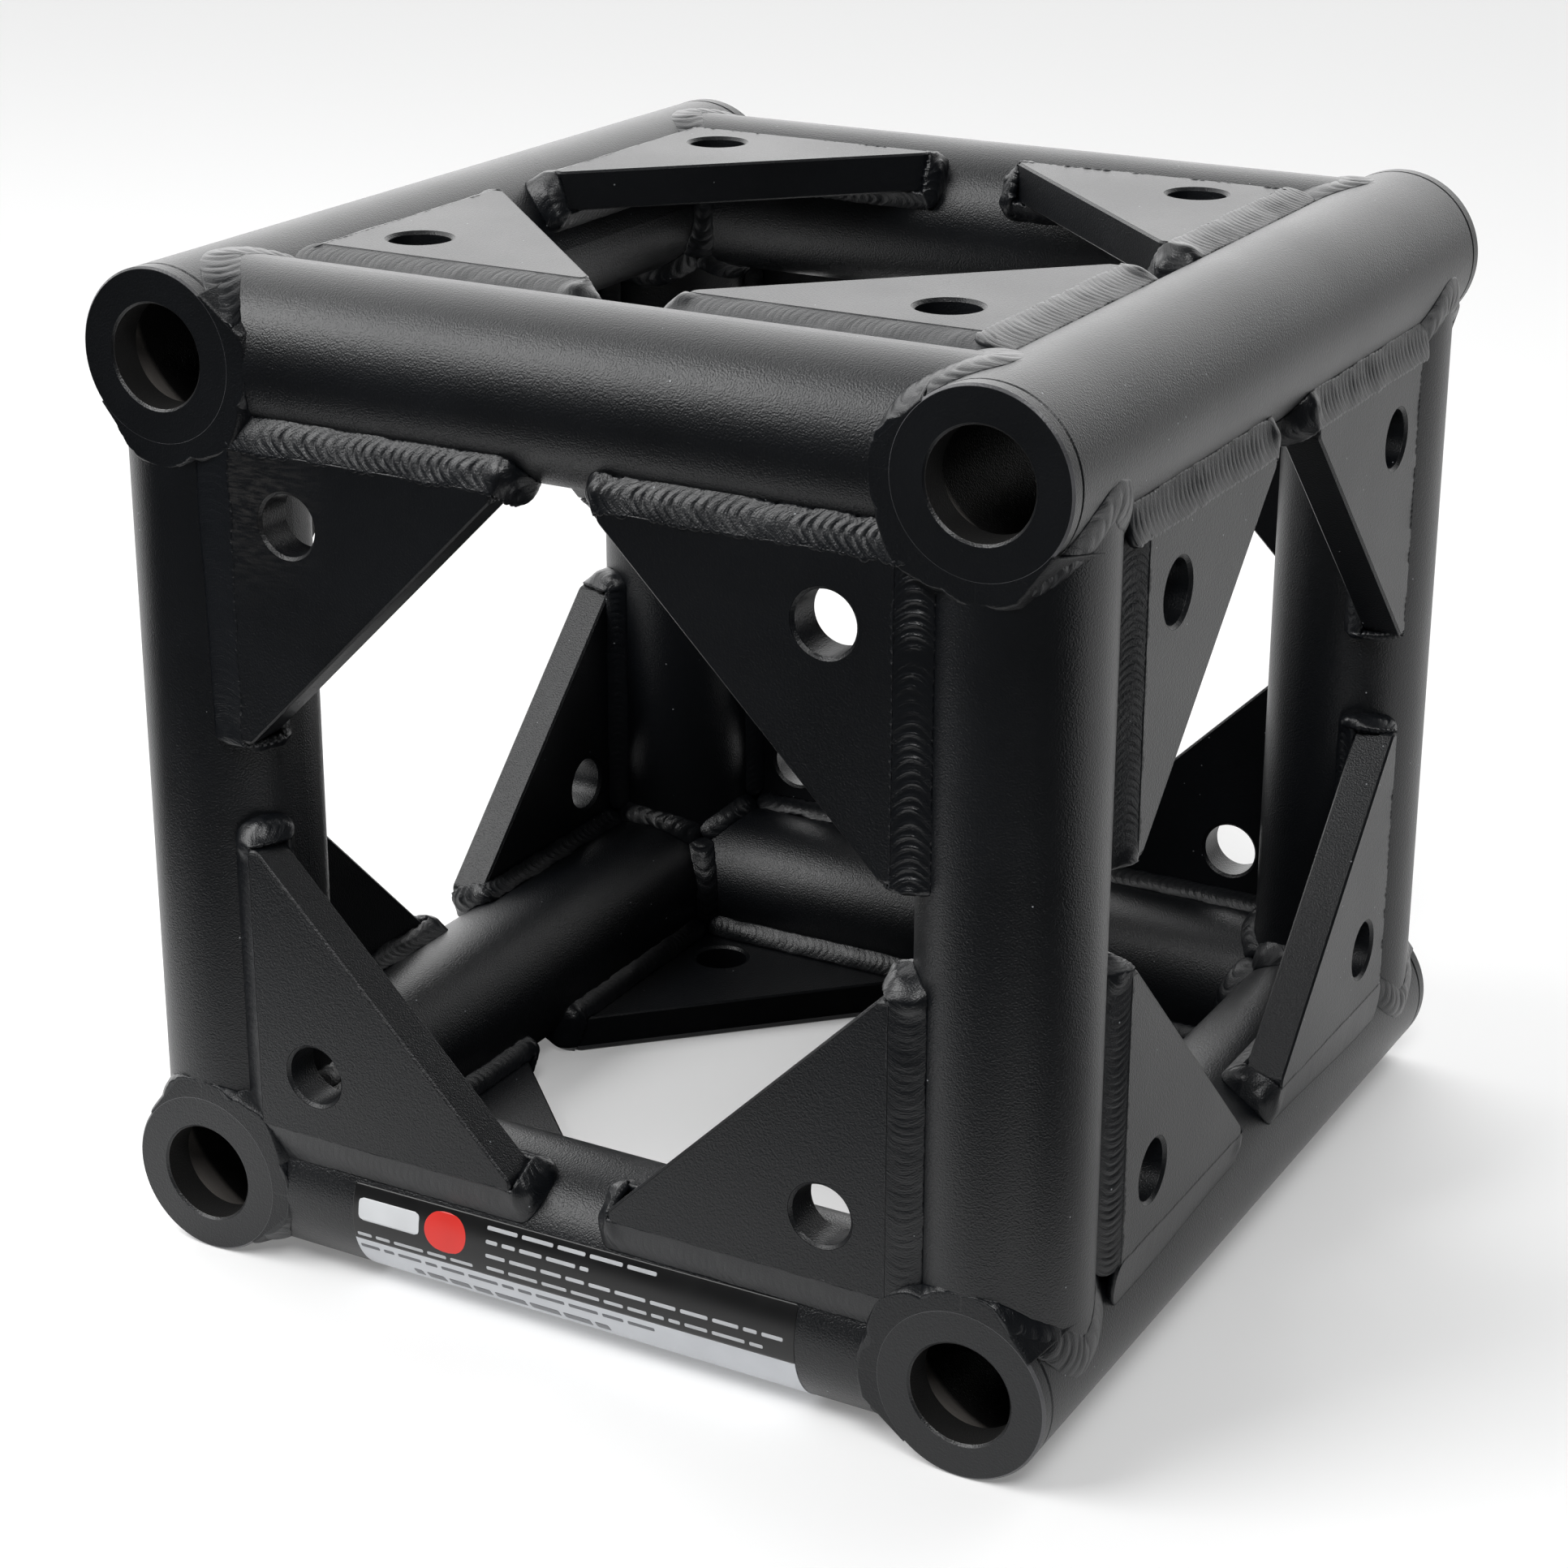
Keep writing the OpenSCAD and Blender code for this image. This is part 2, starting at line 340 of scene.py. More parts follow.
def rounded_outline(shrink, arc_points=6):
    """The plate's outline, moved inwards by shrink, with its tips rounded."""
    a, b = INSET + shrink, REACH - shrink
    slant = INSET + REACH + TIP_FLAT - shrink * math.sqrt(2)
    corners = [(a, a, 0.01), (b, a, 1.6), (b, slant - b, 3.2), (slant - b, b, 3.2), (a, b, 1.6)]
    outline = []
    for i, (x, y, radius) in enumerate(corners):
        here = np.array((x, y))
        back = np.array(corners[i - 1][:2]) - here
        ahead = np.array(corners[(i + 1) % len(corners)][:2]) - here
        back, ahead = back / np.linalg.norm(back), ahead / np.linalg.norm(ahead)
        radius = max(radius - shrink, 0.01)
        half_angle = math.acos(np.clip(back @ ahead, -1, 1)) / 2
        centre = here + (back + ahead) / np.linalg.norm(back + ahead) * radius / math.sin(half_angle)
        start = here + back * radius / math.tan(half_angle) - centre
        stop = here + ahead * radius / math.tan(half_angle) - centre
        first = math.atan2(start[1], start[0])
        sweep = (math.atan2(stop[1], stop[0]) - first + math.pi) % (2 * math.pi) - math.pi
        for k in range(arc_points):
            angle = first + sweep * k / (arc_points - 1)
            outline.append(centre + radius * np.array((math.cos(angle), math.sin(angle))))
    return np.array(outline)


def plate_mesh():
    """A plate with chamfered edges and a chamfered hole, as (points, faces) in the corner's frame."""

    def chamfered(size, easing, drop):
        """A chamfer's (sideways, depth) points on both faces, with its two edges slightly eased."""
        near = [(size + easing, 0), (size, drop), (drop, size), (0, size + easing)]
        return near + [(s, PLATE_T - d) for s, d in reversed(near)]

    def hole_ring(radius, depth):
        return [(BOLT_INSET + radius * math.cos(a), depth, BOLT_INSET + radius * math.sin(a)) for a in angles]

    angles = np.linspace(0, 2 * math.pi, HOLE_POINTS, endpoint=False)
    points, faces = [], []

    def wall(rings, inwards):
        """Joins rings of points with quads, and returns the first and the last ring's indices."""
        start, count = len(points), len(rings[0])
        for ring in rings:
            points.extend(ring)
        for i in range(len(rings) - 1):
            for k in range(count):
                a, b = start + i * count + k, start + i * count + (k + 1) % count
                quad = (a, b, b + count, a + count)
                faces.append(quad if inwards else quad[::-1])
        last = start + (len(rings) - 1) * count
        return list(range(start, start + count)), list(range(last, last + count))

    rim = chamfered(EDGE_CHAMFER, 0.12, 0.04)
    bore = chamfered(HOLE_CHAMFER, 0.15, 0.06)
    outer = wall([[(x, d, z) for x, z in rounded_outline(s)] for s, d in rim], True)
    inner = wall([hole_ring(HOLE_R + s, d) for s, d in bore], False)
    for layer in (0, 1):
        loops = [outer[layer], inner[layer][::-1]]
        flat = [Vector((points[i][0], points[i][2], 0)) for loop in loops for i in loop]
        index = [i for loop in loops for i in loop]
        for triangle in tessellate_polygon([flat[: len(outer[layer])], flat[len(outer[layer]) :]]):
            a, b, c = (flat[t] for t in triangle)
            if ((b - a).cross(c - a).z > 0) == (layer == 0):
                triangle = triangle[::-1]
            faces.append(tuple(index[t] for t in triangle)[::-1])
    return np.array(points, float), faces


plate_points, plate_faces = plate_mesh()
for face, (_, rows, columns) in FACES.items():
    for row in (0, 1):
        for column in (0, 1):
            node = f"plate_{face}_{rows[row]}_{columns[column]}"
            material = worn_coat if node == "plate_front_upper_left" else plate_coat
            placed = place_on_face(plate_points.copy(), face, row, column)
            piece = add_piece(f"bolt_{node}", placed, plate_faces, material, [node])
            piece.modifiers.new("flat_faces", "WEIGHTED_NORMAL").weight = 100

# ---- Weld beads ----

# Points across a bead, the step along it, and how far its edges reach down into the metal
ACROSS = 17
STEP = 0.22
BURIED = 2.2


def wander(x, wavelength, rng):
    """Smooth noise from -1 to 1 along x."""
    knots = rng.uniform(-1, 1, int((x.max() - x.min()) / wavelength) + 4)
    place = (x - x.min()) / wavelength
    i = np.floor(place).astype(int)
    f = place - i
    f = f * f * (3 - 2 * f)
    return knots[i] * (1 - f) + knots[i + 1] * f


def smooth_step(x):
    x = np.clip(x, 0, 1)
    return x * x * (3 - 2 * x)


def eased(vectors, reach=6):
    """Unit vectors averaged with their neighbours along a run, so that they turn without a kink."""
    kernel = np.hanning(2 * reach + 3)[1:-1]
    padded = np.pad(vectors, ((reach, reach), (0, 0)), mode="edge")
    mean = np.stack([np.convolve(padded[:, k], kernel, "valid") for k in range(3)], 1)
    return mean / np.maximum(np.linalg.norm(mean, axis=1, keepdims=True), 1e-9)


# How a bead looks, in millimetres: the ripples' pitch, the bead's crown, the ripples' and the lumps'
# depth, how far its edges scallop, and how far it swells past a plate's tip. sag is how far the ripples
# bow, in pitches, uneven is how much their depth varies, and thin ones are fine ridges.
PLAIN = dict(pitch=2.8, sag=1.2, crown=0.6, ripple=0.20, lump=0.14, edge=0.3,
             thin=False, uneven=0.45, tip=6.5)
LOOKS = {
    "arcs": dict(PLAIN, pitch=3.2, sag=1.75, crown=0.45, ripple=0.38, lump=0.16, edge=1.0, uneven=0.7),
    "dimes": dict(PLAIN, pitch=2.8, sag=1.35, crown=0.6, ripple=0.17, lump=0.08, edge=0.5),
    "crescents": dict(PLAIN, pitch=3.4, sag=1.25, crown=0.3, ripple=0.36, lump=0.14, edge=0.7,
                      thin=True, uneven=0.8, tip=4.0),
    "faint": dict(PLAIN, pitch=2.6, sag=1.1, crown=0.3, ripple=0.08, lump=0.10, edge=0.35),
    "groove": dict(PLAIN, pitch=2.4, sag=1.6, crown=0.1, ripple=0.2, lump=0.07, edge=0.6, tip=3.0),
    "dressed": dict(PLAIN, pitch=3.2, sag=0.8, crown=0.1, ripple=0.015, lump=0.04, edge=0.25),
    "worn_down": dict(PLAIN, pitch=2.8, sag=0.6, crown=0.15, ripple=0.05, lump=0.08, edge=0.6, tip=3.0),
    "rope": dict(PLAIN, pitch=4.4, sag=0.8, crown=0.6, ripple=0.32, lump=0.2, edge=0.5, uneven=0.6),
}
# The same on the plates' inner sides
HIDDEN_SIDE = dict(crown=0.7, ripple=0.2)


def bead(a, b, rng, look, sign=1.0, bow=1, blobs=(), turn_at=None, taper=(4.0, 4.0), limit=None):
    """A bead of weld between the toe lines a and b, as (points, faces, flow). The ripples are crescents,
    bowed towards the start or the end of the run, and blobs are (place, length, rise, lean)."""
    middle = (a + b) / 2
    run = np.concatenate([[0], np.cumsum(np.linalg.norm(np.diff(middle, axis=0), axis=1))])
    out = np.cross(np.gradient(middle, axis=0), b - a) * sign
    out = eased(out / np.maximum(np.linalg.norm(out, axis=1, keepdims=True), 1e-9))
    inner = np.zeros_like(run) if turn_at is None else smooth_step((run - turn_at) / 8 + 0.5)
    crown = look["crown"] * (1 - inner) + HIDDEN_SIDE["crown"] * inner
    ripple = look["ripple"] * (1 - inner) + HIDDEN_SIDE["ripple"] * inner
    t = np.linspace(-1, 1, ACROSS)[None, :]
    dome = np.clip(1 - t**2, 0, 1)
    pitch = look["pitch"] * (1 + 0.16 * wander(run, 7.0, rng) + 0.12 * wander(run, 2.5, rng))
    phase = np.concatenate([[0], np.cumsum(np.diff(run) / pitch[1:])])[:, None]
    phase = phase + bow * look["sag"] * dome + 0.16 * wander(run, 4.0, rng)[:, None] * t
    ridge = np.abs(np.sin(math.pi * phase)) ** 0.65 - 0.62
    if look["thin"]:
        ridge = 0.7 - 1.3 * np.abs(np.sin(math.pi * phase)) ** 0.5
    depth = (ripple * np.maximum(1 + look["uneven"] * wander(run, 4.5, rng), 0.05))[:, None]
    ends = [1 - (1 - np.clip(x, 0, 1)) ** 2 for x in (run / taper[0], (run[-1] - run) / taper[1])]
    fade = np.maximum(np.sqrt(ends[0] * ends[1]), 0.02)[:, None]
    lumps = wander(run, 5.0, rng)[:, None] * dome + wander(run, 2.6, rng)[:, None] * dome * t
    height = (crown * (1 + 0.3 * wander(run, 9.0, rng)))[:, None] * dome
    height = fade * (height + depth * ridge * dome**0.6 + look["lump"] * lumps)
    for place, length, rise, lean in blobs:
        along = rise * np.exp(-(((run - place) / length) ** 2))[:, None]
        height = height + along * np.exp(-(((t - lean) / 0.7) ** 2)) * dome**0.4
    width = np.maximum(np.linalg.norm(b - a, axis=1, keepdims=True), 1.0)
    sway = 0.6 * wander(run, 3.4, rng)[:, None]
    swell = 0.4 * t * wander(run, 8.0, rng)[:, None]
    stray = look["edge"] * (0.7 * (ridge + 0.2) + sway + swell)
    side = t * fade + np.sign(t) * np.abs(t) ** 3 * fade * 2 * stray / width
    share = ((1 + side) / 2)[..., None]
    grid = a[:, None, :] * (1 - share) + b[:, None, :] * share + out[:, None, :] * height[..., None]
    under = out[:, None, :] * BURIED
    grid = np.concatenate([grid[:, :1] - under, grid, grid[:, -1:] - under], axis=1)
    if limit is not None:
        grid = limit(grid)
    flow = np.stack([phase, np.broadcast_to(t, phase.shape), np.full_like(phase, rng.uniform(0, 50))], -1)
    flow = np.concatenate([flow[:, :1], flow, flow[:, -1:]], axis=1)
    points, faces = tube_mesh(grid)
    return points, faces, flow.reshape(-1, 3)


def tube_mesh(grid):
    """A closed mesh around rings of points, with flat ends."""
    n, m = grid.shape[:2]
    i, k = np.meshgrid(np.arange(n - 1), np.arange(m), indexing="ij")
    after = (k + 1) % m
    quads = np.stack([i * m + k, i * m + after, (i + 1) * m + after, (i + 1) * m + k], -1).reshape(-1, 4)
    caps = [tuple(range(m - 1, -1, -1)), tuple(range((n - 1) * m, n * m))]
    return grid.reshape(-1, 3), [tuple(q) for q in quads.tolist()] + caps


# ---- Welds around the plates ----


def leg_rails(start, outer, recess, tip_run, inner=6.5, stop=53.0):
    """Toe lines of the weld along one leg of a plate: along the outer groove, around the tip and back
    along the plate's inner side. Each point is (along the leg, depth, height)."""
    s = np.arange(start, REACH + 0.5, STEP)
    toe = INSET - outer + max(outer - 11, 0) * smooth_step((s - 60) / (REACH - 60))
    a_out = np.stack([s, tube_depth(toe), toe], 1)
    toe = toe[-1]
    b_out = np.stack([s, np.full_like(s, recess - 0.06), np.full_like(s, INSET + 1.0 - recess)], 1)
    theta = np.linspace(0, math.pi, 64)[1:-1]
    mid = (1 - np.cos(theta)) / 2
    swing = np.sin(theta) ** 0.8
    depth = tube_depth(toe) + (PLATE_T + inner - tube_depth(toe)) * mid
    a_tip = np.stack([REACH + 0.5 + tip_run * swing, depth, tube_edge(depth)], 1)
    b_depth = b_out[0, 1] + (PLATE_T + 0.4 - b_out[0, 1]) * mid
    b_height = b_out[0, 2] + (INSET + inner - b_out[0, 2]) * mid + 1.8 * swing
    b_tip = np.stack([REACH + 0.5 + 0.9 * swing, b_depth, b_height], 1)
    s = np.arange(REACH + 0.5, stop, -STEP * 2.4)
    a_in = np.stack([s, np.full_like(s, PLATE_T + inner), np.full_like(s, tube_edge(PLATE_T + inner))], 1)
    b_in = np.stack([s, np.full_like(s, PLATE_T + 0.4), np.full_like(s, INSET + inner)], 1)
    return np.concatenate([a_out, a_tip, a_in]), np.concatenate([b_out, b_tip, b_in])


# Legs whose welds differ: (look, bow, start, width of the outer weld, depth below the plate's face)
LEGS = {
    "front_upper_left_tube": ("arcs", 1, 43.5, 8.4, 0.0),
    "front_upper_right_tube": ("arcs", -1, 43.0, 8.4, 0.0),
    "front_upper_left_side": ("worn_down", 1, 44.0, 12.0, 0.0),
    "front_upper_right_side": ("crescents", 1, 46.5, 9.4, 0.0),
    "front_lower_left_tube": ("faint", 1, 42.0, 10.5, 0.1),
    "front_lower_left_side": ("faint", -1, 42.0, 7.5, 0.3),
    "front_lower_right_tube": ("faint", -1, 42.0, 10.5, 0.1),
    "front_lower_right_side": ("faint", 1, 43.0, 9.0, 0.1),
    "right_upper_front_tube": ("dimes", 1, 38.5, 10.0, 0.0),
    "right_upper_back_tube": ("dimes", -1, 40.0, 10.0, 0.0),
    "right_upper_front_side": ("groove", 1, 44.0, 7.4, 0.05),
    "right_upper_back_side": ("groove", 1, 46.0, 7.4, 0.05),
    "right_lower_front_side": ("groove", 1, 46.0, 7.4, 0.05),
    "right_lower_back_side": ("groove", 1, 46.0, 7.4, 0.05),
    "right_lower_front_tube": ("dressed", 1, 46.0, 13.0, 0.0),
    "right_lower_back_tube": ("dressed", -1, 46.0, 13.0, 0.0),
    "top_front_left_tube": ("faint", 1, 43.5, 9.0, 0.2),
    "top_front_right_tube": ("faint", -1, 43.0, 9.0, 0.2),
    "top_front_right_side": ("dimes", 1, 41.5, 9.5, 0.0),
    "top_back_right_side": ("dimes", -1, 42.5, 9.5, 0.0),
}
OTHER_LEGS = ("dimes", "crescents", "faint", "arcs", "dimes", "faint")

seed = 0
for face, (_, rows, columns) in FACES.items():
    for row in (0, 1):
        for column in (0, 1):
            for leg, order in (("tube", (0, 1, 2)), ("side", (2, 1, 0))):
                seed += 1
                rng = np.random.default_rng(seed)
                name = f"{face}_{rows[row]}_{columns[column]}_{leg}"
                usual_look = OTHER_LEGS[seed % len(OTHER_LEGS)]
                usual = (usual_look, 1 if seed % 3 else -1, 45.0, 8.0 + 1.5 * rng.random(), 0.1)
                look, bow, start, outer, recess = LEGS.get(name, usual)
                a, b = leg_rails(start, outer, recess, LOOKS[look]["tip"])
                tip = REACH - start
                blobs = [(tip + rng.uniform(-2, 1), 2.6, rng.uniform(0.5, 1.1), rng.uniform(-0.3, 0.5)),
                         (tip + rng.uniform(6, 9), 3.4, rng.uniform(0.9, 1.6), rng.uniform(-0.4, 0.2)),
                         (tip + rng.uniform(15, 18), 3.2, rng.uniform(0.7, 1.5), rng.uniform(-0.4, 0.2))]
                points, faces, flow = bead(a, b, rng, LOOKS[look], bow=bow, blobs=blobs, turn_at=tip + 9)
                coat = plate_coat if look == "dressed" else weld_coat
                add_piece(f"seam_{name}", place_on_face(points[:, order], face, row, column),
                          faces, coat, [f"plate_welds_{face}"], flow)

# ---- Welds where three tubes meet ----

# Radius of the seam between a cross tube and a chord, the bead's reach to each side of it, and how far
# a dressed weld stands out from the chord's end
SEAM_R = 24.4
LOOP_LEG = 5.6
FACE_PROUD = 0.02


def unit(v):
    return v / np.maximum(np.linalg.norm(v, axis=1, keepdims=True), 1e-9)


def scaled_to_tube(points, axes):
    """Points moved straight out from a tube's axis until they are on its surface."""
    radius = np.linalg.norm(points[:, axes], axis=1, keepdims=True)
    moved = points.copy()
    moved[:, axes] *= TUBE_R / radius
    return moved


def loop_rails(rng):
    """Toe lines of the weld around a cross tube's end, from the joint's centre with the block's inside
    towards +x, +y, +z: from the outer triple point, over the tube's far side, to the inner one."""
    turn_angle = np.radians(np.linspace(-45, 225, 400))
    y, z = -SEAM_R * np.cos(turn_angle), -SEAM_R * np.sin(turn_angle)
    x = np.sqrt(TUBE_R**2 - z**2)
    seam = np.stack([x, y, z], 1)
    along = unit(np.gradient(seam, axis=0))
    chord_out = unit(np.stack([x, 0 * y, z], 1))
    cross_out = unit(np.stack([0 * x, y, z], 1))
    onto_chord = unit(np.cross(along, chord_out))
    onto_chord *= np.sign((onto_chord * cross_out).sum(1, keepdims=True))
    onto_cross = unit(np.cross(along, cross_out))
    onto_cross *= np.sign((onto_cross * chord_out).sum(1, keepdims=True))
    run = turn_angle * SEAM_R
    leg = (LOOP_LEG * (1 + 0.12 * wander(run, 9, rng)))[:, None]
    a = scaled_to_tube(seam + leg * onto_chord, [0, 2])
    b = scaled_to_tube(seam + leg * onto_cross, [1, 2])
    return a, b, chord_out + cross_out, run - run[0]


def web_rails():
    """Toe lines of the weld between a cross tube and an upright, in the same terms."""
    theta = np.radians(np.linspace(-45, 45, 110))
    c, s = TUBE_R * np.cos(theta), TUBE_R * np.sin(theta)
    return np.stack([c + 4.8, s, c], 1), np.stack([c, s, c + 4.8], 1), np.stack([c, 2 * s, c], 1)


def flush_with_end(grid):
    """Keeps a bead from standing out past the chord's end."""
    grid[..., 1] = np.maximum(grid[..., 1], -TUBE_R)
    return grid


def dressed_face(rng):
    """The weld dressed flush with a chord's end, over the bush's rim and out to where it falls away to
    the tubes and the plate, as a closed sheet. Its outline ends in straight lines off the bush's rim."""
    degrees = np.linspace(-50, 143, 190)
    beyond = np.linspace(-2.2, 9.0, 50)
    phi = np.radians(degrees)
    to_plate = 2.2 * np.exp(-(((degrees - 45) / 13) ** 2))
    pits = 0
    for place in (18, 70):
        deep = rng.uniform(1.2, 2.4)
        pits = pits + deep * np.exp(-(((degrees - place - rng.uniform(-3, 3)) / 5.5) ** 2))
    reach = 4.9 + to_plate - pits + 0.3 * wander(phi * TUBE_R, 4, rng)
    for rim_at in (rng.uniform(-54, -46), rng.uniform(139, 147)):
        turned = np.radians(np.clip(np.abs(degrees - rim_at), 0, 60))
        inside = (degrees - rim_at) * (degrees[0] + degrees[-1] - 2 * rim_at) > 0
        off_rim = np.where(inside, 1 / np.cos(turned) - 1, 0)
        reach = np.minimum(reach, TUBE_R * off_rim - 0.2)
    past = np.maximum(beyond[None, :] - reach[:, None], 0)
    rho = TUBE_R + beyond[None, :]
    widest = 0.985 * TUBE_R
    x = np.maximum(rho * np.cos(phi)[:, None], -widest)
    z = np.maximum(rho * np.sin(phi)[:, None], -widest)
    on_cross = TUBE_R - np.sqrt(TUBE_R**2 - np.minimum(np.abs(z), widest) ** 2)
    on_upright = TUBE_R - np.sqrt(TUBE_R**2 - np.minimum(np.abs(x), widest) ** 2)
    surface = np.where(x > z, on_cross, on_upright)
    rough = wander(phi * TUBE_R, 3.1, rng)[:, None] * np.sin(beyond * 1.1)[None, :]
    rough = rough + wander(phi * TUBE_R, 1.9, rng)[:, None] * np.cos(beyond * 1.7)[None, :]
    fall = smooth_step(past / (2.6 + 0.22 * surface))
    depth = (surface + 1.0) * fall + 0.12 * rough * fall * (1 - fall) * 4 - FACE_PROUD
    depth = depth + 0.06 * (1 - smooth_step((beyond - beyond[0]) / 1.4))[None, :]
    front = np.stack([x, depth - TUBE_R, z], -1)
    back = front[:, ::-1].copy()
    back[..., 1] += 2.5
    points, faces = tube_mesh(np.concatenate([front, back], axis=1))
    around_rim = np.broadcast_to(phi[:, None] * 3, depth.shape)
    outwards = np.broadcast_to(beyond[None, :] / 3, depth.shape)
    flow = np.stack([around_rim, outwards, np.zeros_like(depth)], -1)
    return points, faces, np.concatenate([flow, flow[:, ::-1]], axis=1).reshape(-1, 3)


for end, end_sign in ENDS:
    for level, level_sign in LEVELS:
        for side, side_sign in SIDES:
            corner = f"{end}_{level}_{side}"
            signs = end_sign, level_sign, side_sign
            for kind in ("cross", "upright", "web"):
                seed += 1
                rng = np.random.default_rng(seed)
                if kind == "web":
                    a, b, normal = web_rails()
                    blobs = []
                else:
                    a, b, normal, run = loop_rails(rng)
                    leaves = run[-1] * (45 + 30 + rng.uniform(-5, 5)) / 270
                    blobs = [(leaves, 2.0, rng.uniform(0.5, 1.0), 0.2),
                             (leaves + 4.5, 1.8, rng.uniform(0.3, 0.9), -0.1)]
                    if kind == "upright":
                        a, b, normal = a[:, ::-1], b[:, ::-1], normal[:, ::-1]
                out = np.cross(np.gradient((a + b) / 2, axis=0), b - a)
                sign = 1.0 if (out * normal).sum() > 0 else -1.0
                points, faces, flow = bead(a, b, rng, LOOKS["rope"], sign, rng.choice([-1, 1]), blobs,
                                           taper=(3, 3), limit=flush_with_end)
                add_piece(f"bead_{kind}_{corner}", place_at_corner(points + TUBE_R, *signs),
                          faces, weld_coat, [f"joint_weld_{corner}"], flow)
            points, faces, flow = dressed_face(rng)
            add_piece(f"dressed_{corner}", place_at_corner(points + TUBE_R, *signs),
                      faces, plate_coat, [f"joint_weld_{corner}"], flow)

# ---- Label ----

low, high = box_mm("label")
LABEL_X = low[0] + HALF, high[0] + HALF
FILM = 0.15
PRINT_LIFT, PRINT_T = 0.03, 0.05
LABEL_TOP = math.degrees(math.asin((high[2] - TUBE_R) / (TUBE_R + FILM)))
LABEL_FOOT = math.degrees(math.asin((low[2] - TUBE_R) / (TUBE_R + FILM)))
# Where the black field ends, in degrees, and how far the label is askew, in degrees a millimetre
FIELD_FOOT = -15.0
ASKEW = 0.022


def film(x_range, angles, lift, thick, corner=0.0):
    """A patch of film around the lower front tube, as (points, faces): x in millimetres from the block's
    left side, angles in degrees above the tube's foremost line, rounded at its corners."""
    rows = max(int(abs(angles[1] - angles[0]) / 1.2), 8)
    columns = max(int((x_range[1] - x_range[0]) / 4), 2)
    arc = np.radians(np.linspace(angles[0], angles[1], rows + 1))
    travel = np.abs(arc - arc[0]) * TUBE_R
    gap = np.clip(corner - np.minimum(travel, travel[-1] - travel), 0, corner)
    pull = corner - np.sqrt(np.maximum(corner**2 - gap**2, 0))
    share = np.linspace(0, 1, columns + 1)
    margin = min(0.2 / (x_range[1] - x_range[0]), 0.3 / columns)
    share = np.sort(np.concatenate([share, [margin, 1 - margin]]))[None, :]
    x = (x_range[0] + pull)[:, None] * (1 - share) + (x_range[1] - pull)[:, None] * share
    angle = arc[:, None] + np.radians(ASKEW * (x - HALF))
    sheets = []
    for radius in (TUBE_R + lift - thick, TUBE_R + lift):
        sheets.append(np.stack([x, TUBE_R - radius * np.cos(angle), TUBE_R + radius * np.sin(angle)], -1))
    grid = np.concatenate([sheets[0], sheets[1][:, ::-1]], axis=1)
    return tube_mesh(grid)


def words(x_range, angle, tall, rng):
    """A line of plain blocks, as long as words are."""
    x, points, faces = x_range[0], [], []
    while x < x_range[1] - 2:
        end = min(x + rng.uniform(3, 11), x_range[1])
        block, sides = film((x, end), (angle - tall / 2, angle + tall / 2), FILM + PRINT_LIFT, PRINT_T, 0.4)
        before = sum(len(earlier) for earlier in points)
        faces += [tuple(i + before for i in side) for side in sides]
        points.append(block)
        x = end + 1.5
    return np.concatenate(points), faces


def add_label(name, made, ink):
    points, faces = made
    add_piece(f"label_{name}", (points - (HALF, HALF, 0)) * MM, faces, ink, ["label"])


add_label("field", film(LABEL_X, (LABEL_TOP, FIELD_FOOT), FILM, FILM, 0.8), field_ink)
add_label("band", film(LABEL_X, (FIELD_FOOT, LABEL_FOOT), FILM, FILM), band_ink)
add_label("mark_bar", film((82, 103.5), (17, 1), FILM + PRINT_LIFT, PRINT_T, 1.6), white_ink)
add_label("mark_disc", film((105.5, 120), (22.5, -6), FILM + PRINT_LIFT, PRINT_T, 6.2), red_ink)
# The printed lines: name, x from and to, angle, height in degrees, ink
LINES = [("tagline", (81, 122), -10.5, 2.6, print_ink), ("line_1", (127, 184), 20, 2.7, print_ink),
         ("line_2", (127, 162), 10.6, 2.7, print_ink), ("line_3", (127, 226), 0.8, 2.7, print_ink),
         ("line_4", (127, 221), -8.6, 2.7, print_ink), ("band_line_1", (81, 183), -21.5, 3.2, grey_ink),
         ("band_line_2", (98, 166), -37, 8, grey_ink)]
for number, (name, x_range, angle, tall, ink) in enumerate(LINES):
    add_label(name, words(x_range, angle, tall, np.random.default_rng(700 + number)), ink)

# ---- Tubes and bushes, which are the CAD's own ----

for name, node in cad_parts.items():
    material = {"end": bush_coat, "chord": chord_coat}.get(name.split("_")[0], tube_coat)
    for material_slot in node.material_slots:
        material_slot.material = material

# ---- Camera, floor and light ----

# The photograph's view. Its centre is off the picture's middle, which the shifts allow for.
AZIMUTH, ELEVATION, ROLL = 29.18, 19.76, -0.113
TARGET = Vector((-0.00857, -0.00785, 0.16105))
DISTANCE = 1.0277
LENS, SENSOR = 76.425, 36.0
SHIFT_X, SHIFT_Y = 0.0017, -0.0686

a, e = math.radians(AZIMUTH), math.radians(ELEVATION)
back = Vector((math.sin(a) * math.cos(e), -math.cos(a) * math.cos(e), math.sin(e)))
right = Vector((math.cos(a), math.sin(a), 0))
view = Matrix((right, back.cross(right), back)).transposed()
camera_data = bpy.data.cameras.new("camera")
camera_data.lens, camera_data.sensor_width = LENS, SENSOR
camera_data.shift_x, camera_data.shift_y = SHIFT_X, SHIFT_Y
camera_data.clip_start, camera_data.clip_end = 0.05, 60
camera = bpy.data.objects.new("camera", camera_data)
rolled = view @ Matrix.Rotation(math.radians(-ROLL), 3, "Z")
camera.matrix_world = Matrix.Translation(TARGET + back * DISTANCE) @ rolled.to_4x4()
bpy.context.scene.collection.objects.link(camera)
bpy.context.scene.camera = camera

